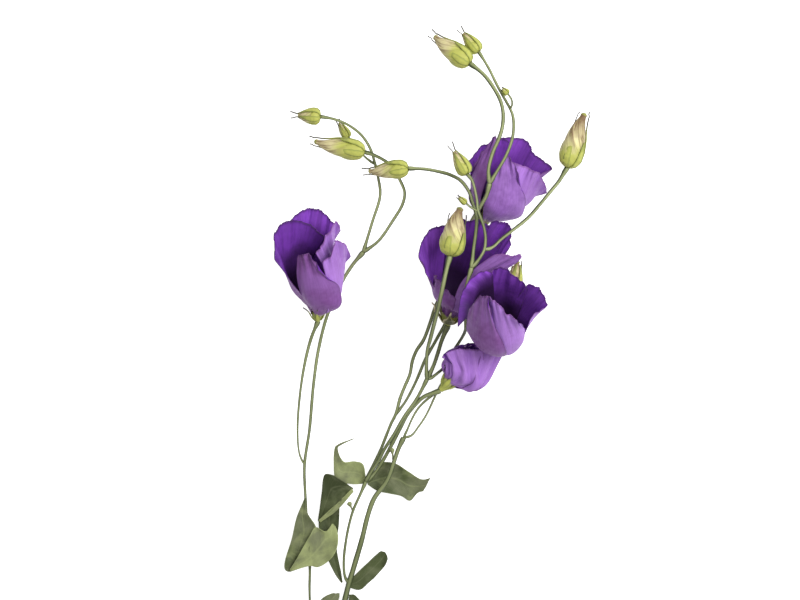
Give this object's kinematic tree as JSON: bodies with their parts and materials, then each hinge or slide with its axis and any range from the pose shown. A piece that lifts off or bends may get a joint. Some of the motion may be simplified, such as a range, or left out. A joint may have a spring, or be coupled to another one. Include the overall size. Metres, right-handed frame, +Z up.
{
  "type": "lisianthus flower spray",
  "caption": "cut lisianthus spray lying on a table, with open violet cup-shaped flowers, slim twisted buds on curved stalks, forked green stems and oval leaves",
  "frame": {"origin": "centre of the spray's footprint on the table, at the table's surface", "axes": "+Z up from the table, +Y from the cut end towards the flowers and top buds, +X to the right seen from above"},
  "size_m": [0.1884, 0.4306, 0.0823],
  "materials": {
    "petal": "soft satin violet petal, deep purple inside and dusty lilac outside, with fine veins",
    "stem": "smooth waxy grey-green stem with fine lengthwise lines",
    "bud": "waxy yellow-green furled bud with spiral folds",
    "ripe_bud": "cream and tan furled bud with brown-mauve edges",
    "leaf": "matt grey-green leaf with a pale midrib and fine veins"
  },
  "bodies": {
    "root": {"main_stem": "stem", "left_branch": "stem", "middle_branch": "stem", "lower_fork_stem": "stem", "upper_fork_stem": "stem", "crossing_stem": "stem", "left_flower_stalk": "stem", "middle_flower_stalk": "stem", "upper_flower_stalk": "stem", "front_flower_stalk": "stem", "low_flower_stalk": "stem", "left_flower_petal_1": "petal", "left_flower_petal_2": "petal", "left_flower_petal_3": "petal", "left_flower_petal_4": "petal", "left_flower_petal_5": "petal", "middle_flower_petal_1": "petal", "middle_flower_petal_2": "petal", "middle_flower_petal_3": "petal", "middle_flower_petal_4": "petal", "middle_flower_petal_5": "petal", "upper_flower_petal_1": "petal", "upper_flower_petal_2": "petal", "upper_flower_petal_3": "petal", "upper_flower_petal_4": "petal", "upper_flower_petal_5": "petal", "front_flower_petal_1": "petal", "front_flower_petal_2": "petal", "front_flower_petal_3": "petal", "front_flower_petal_4": "petal", "front_flower_petal_5": "petal", "low_flower_petal_1": "petal", "low_flower_petal_2": "petal", "low_flower_petal_3": "petal", "low_flower_petal_4": "petal", "low_flower_petal_5": "petal", "left_long_bud": "bud", "left_near_bud": "bud", "left_small_bud": "bud", "crossing_bud": "bud", "centre_bud": "bud", "tiny_bud": "bud", "right_bud": "ripe_bud", "front_bud": "ripe_bud", "top_bud": "bud", "top_right_bud": "bud", "top_small_bud": "bud", "hidden_bud": "ripe_bud", "left_leaf_grey": "leaf", "left_leaf_light": "leaf", "long_dark_leaf": "leaf", "curled_leaf": "leaf", "right_leaf": "leaf", "low_right_leaf": "leaf", "foot_left_leaf": "leaf", "foot_right_leaf": "leaf"}
  },
  "joints": []
}
